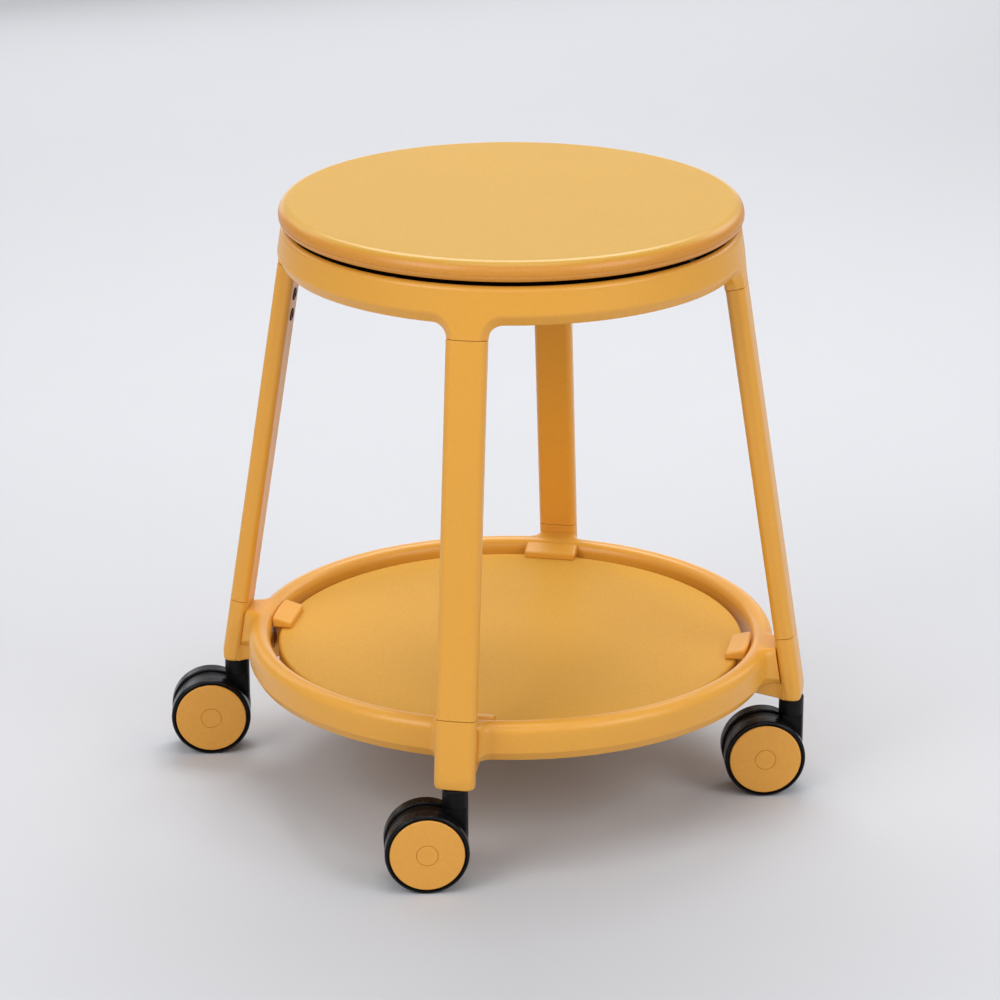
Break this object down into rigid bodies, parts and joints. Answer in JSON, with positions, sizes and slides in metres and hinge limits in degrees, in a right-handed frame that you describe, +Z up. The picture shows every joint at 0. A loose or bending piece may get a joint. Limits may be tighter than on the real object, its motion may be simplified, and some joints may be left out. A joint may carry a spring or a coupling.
{
  "type": "rolling stool",
  "caption": "Round swivel-seat stool on splayed legs with a round storage tray low between them and twin-wheel casters, for sitting and rolling about.",
  "frame": {"origin": "the point on the floor plane, under the wheels, below the seat's axis", "axes": "+Z up along the seat's axis, +X towards the right leg, -Y towards the front leg; at rest every caster trails towards -X, swivelled by 14 degrees"},
  "size_m": [0.4902, 0.4725, 0.4446],
  "materials": {
    "seat": "satin, fine grain",
    "frame": "satin powder coat",
    "tray": "satin, fine grain",
    "clip": "satin",
    "cap": "satin",
    "fork": "semi-gloss",
    "hub": "satin",
    "tyre": "smooth polyurethane",
    "bush": "matt",
    "carrier": "black powder coat",
    "bearing_steel": "ground",
    "screw_steel": "zinc plated",
    "dark_screw": "black oxide"
  },
  "bodies": {
    "frame": {"frame_collar": "frame", "carrier_plate": "carrier", "carrier_screws": "screw_steel", "swivel_bush": "bush", "lower_race": "bearing_steel", "swivel_balls": "bearing_steel", "leg_screws": "dark_screw", "tray_ring": "frame", "tray_disc": "tray", "tray_clips": "clip", "tray_screws": "screw_steel", "caster_stems": "bearing_steel", "stem_rings": "screw_steel", "leg_front": "frame", "foot_front": "frame", "leg_right": "frame", "foot_right": "frame", "leg_back": "frame", "foot_back": "frame", "leg_left": "frame", "foot_left": "frame"},
    "seat": {"seat_top": "seat", "seat_plate": "seat", "seat_screws": "screw_steel", "swivel_pin": "bearing_steel", "swivel_circlip": "screw_steel", "upper_race": "bearing_steel"},
    "caster_front": {"caster_front": "fork", "axle_front": "bearing_steel"},
    "wheel_front_near": {"hub_front_near": "hub", "tyre_front_near": "tyre", "cap_front_near": "cap"},
    "wheel_front_far": {"hub_front_far": "hub", "tyre_front_far": "tyre", "cap_front_far": "cap"},
    "caster_right": {"caster_right": "fork", "axle_right": "bearing_steel"},
    "wheel_right_near": {"hub_right_near": "hub", "tyre_right_near": "tyre", "cap_right_near": "cap"},
    "wheel_right_far": {"hub_right_far": "hub", "tyre_right_far": "tyre", "cap_right_far": "cap"},
    "caster_back": {"caster_back": "fork", "axle_back": "bearing_steel"},
    "wheel_back_near": {"hub_back_near": "hub", "tyre_back_near": "tyre", "cap_back_near": "cap"},
    "wheel_back_far": {"hub_back_far": "hub", "tyre_back_far": "tyre", "cap_back_far": "cap"},
    "caster_left": {"caster_left": "fork", "axle_left": "bearing_steel"},
    "wheel_left_near": {"hub_left_near": "hub", "tyre_left_near": "tyre", "cap_left_near": "cap"},
    "wheel_left_far": {"hub_left_far": "hub", "tyre_left_far": "tyre", "cap_left_far": "cap"}
  },
  "joints": [
    {"name": "seat_swivel", "type": "hinge", "parent": "frame", "child": "seat", "pos_m": [0, 0, 0.425], "axis": [0, 0, 1], "continuous": true},
    {"name": "swivel_front", "type": "hinge", "parent": "frame", "child": "caster_front", "pos_m": [0, -0.21203, 0.062], "axis": [0, 0, 1], "continuous": true},
    {"name": "spin_front_near", "type": "hinge", "parent": "caster_front", "child": "wheel_front_near", "pos_m": [-0.01989, -0.21699, 0.03], "axis": [-0.2419, 0.9703, 0], "continuous": true},
    {"name": "spin_front_far", "type": "hinge", "parent": "caster_front", "child": "wheel_front_far", "pos_m": [-0.01989, -0.21699, 0.03], "axis": [-0.2419, 0.9703, 0], "continuous": true},
    {"name": "swivel_right", "type": "hinge", "parent": "frame", "child": "caster_right", "pos_m": [0.21203, 0, 0.062], "axis": [0, 0, 1], "continuous": true},
    {"name": "spin_right_near", "type": "hinge", "parent": "caster_right", "child": "wheel_right_near", "pos_m": [0.19214, -0.00496, 0.03], "axis": [-0.2419, 0.9703, 0], "continuous": true},
    {"name": "spin_right_far", "type": "hinge", "parent": "caster_right", "child": "wheel_right_far", "pos_m": [0.19214, -0.00496, 0.03], "axis": [-0.2419, 0.9703, 0], "continuous": true},
    {"name": "swivel_back", "type": "hinge", "parent": "frame", "child": "caster_back", "pos_m": [0, 0.21203, 0.062], "axis": [0, 0, 1], "continuous": true},
    {"name": "spin_back_near", "type": "hinge", "parent": "caster_back", "child": "wheel_back_near", "pos_m": [-0.01989, 0.20707, 0.03], "axis": [-0.2419, 0.9703, 0], "continuous": true},
    {"name": "spin_back_far", "type": "hinge", "parent": "caster_back", "child": "wheel_back_far", "pos_m": [-0.01989, 0.20707, 0.03], "axis": [-0.2419, 0.9703, 0], "continuous": true},
    {"name": "swivel_left", "type": "hinge", "parent": "frame", "child": "caster_left", "pos_m": [-0.21203, 0, 0.062], "axis": [0, 0, 1], "continuous": true},
    {"name": "spin_left_near", "type": "hinge", "parent": "caster_left", "child": "wheel_left_near", "pos_m": [-0.23192, -0.00496, 0.03], "axis": [-0.2419, 0.9703, 0], "continuous": true},
    {"name": "spin_left_far", "type": "hinge", "parent": "caster_left", "child": "wheel_left_far", "pos_m": [-0.23192, -0.00496, 0.03], "axis": [-0.2419, 0.9703, 0], "continuous": true}
  ]
}
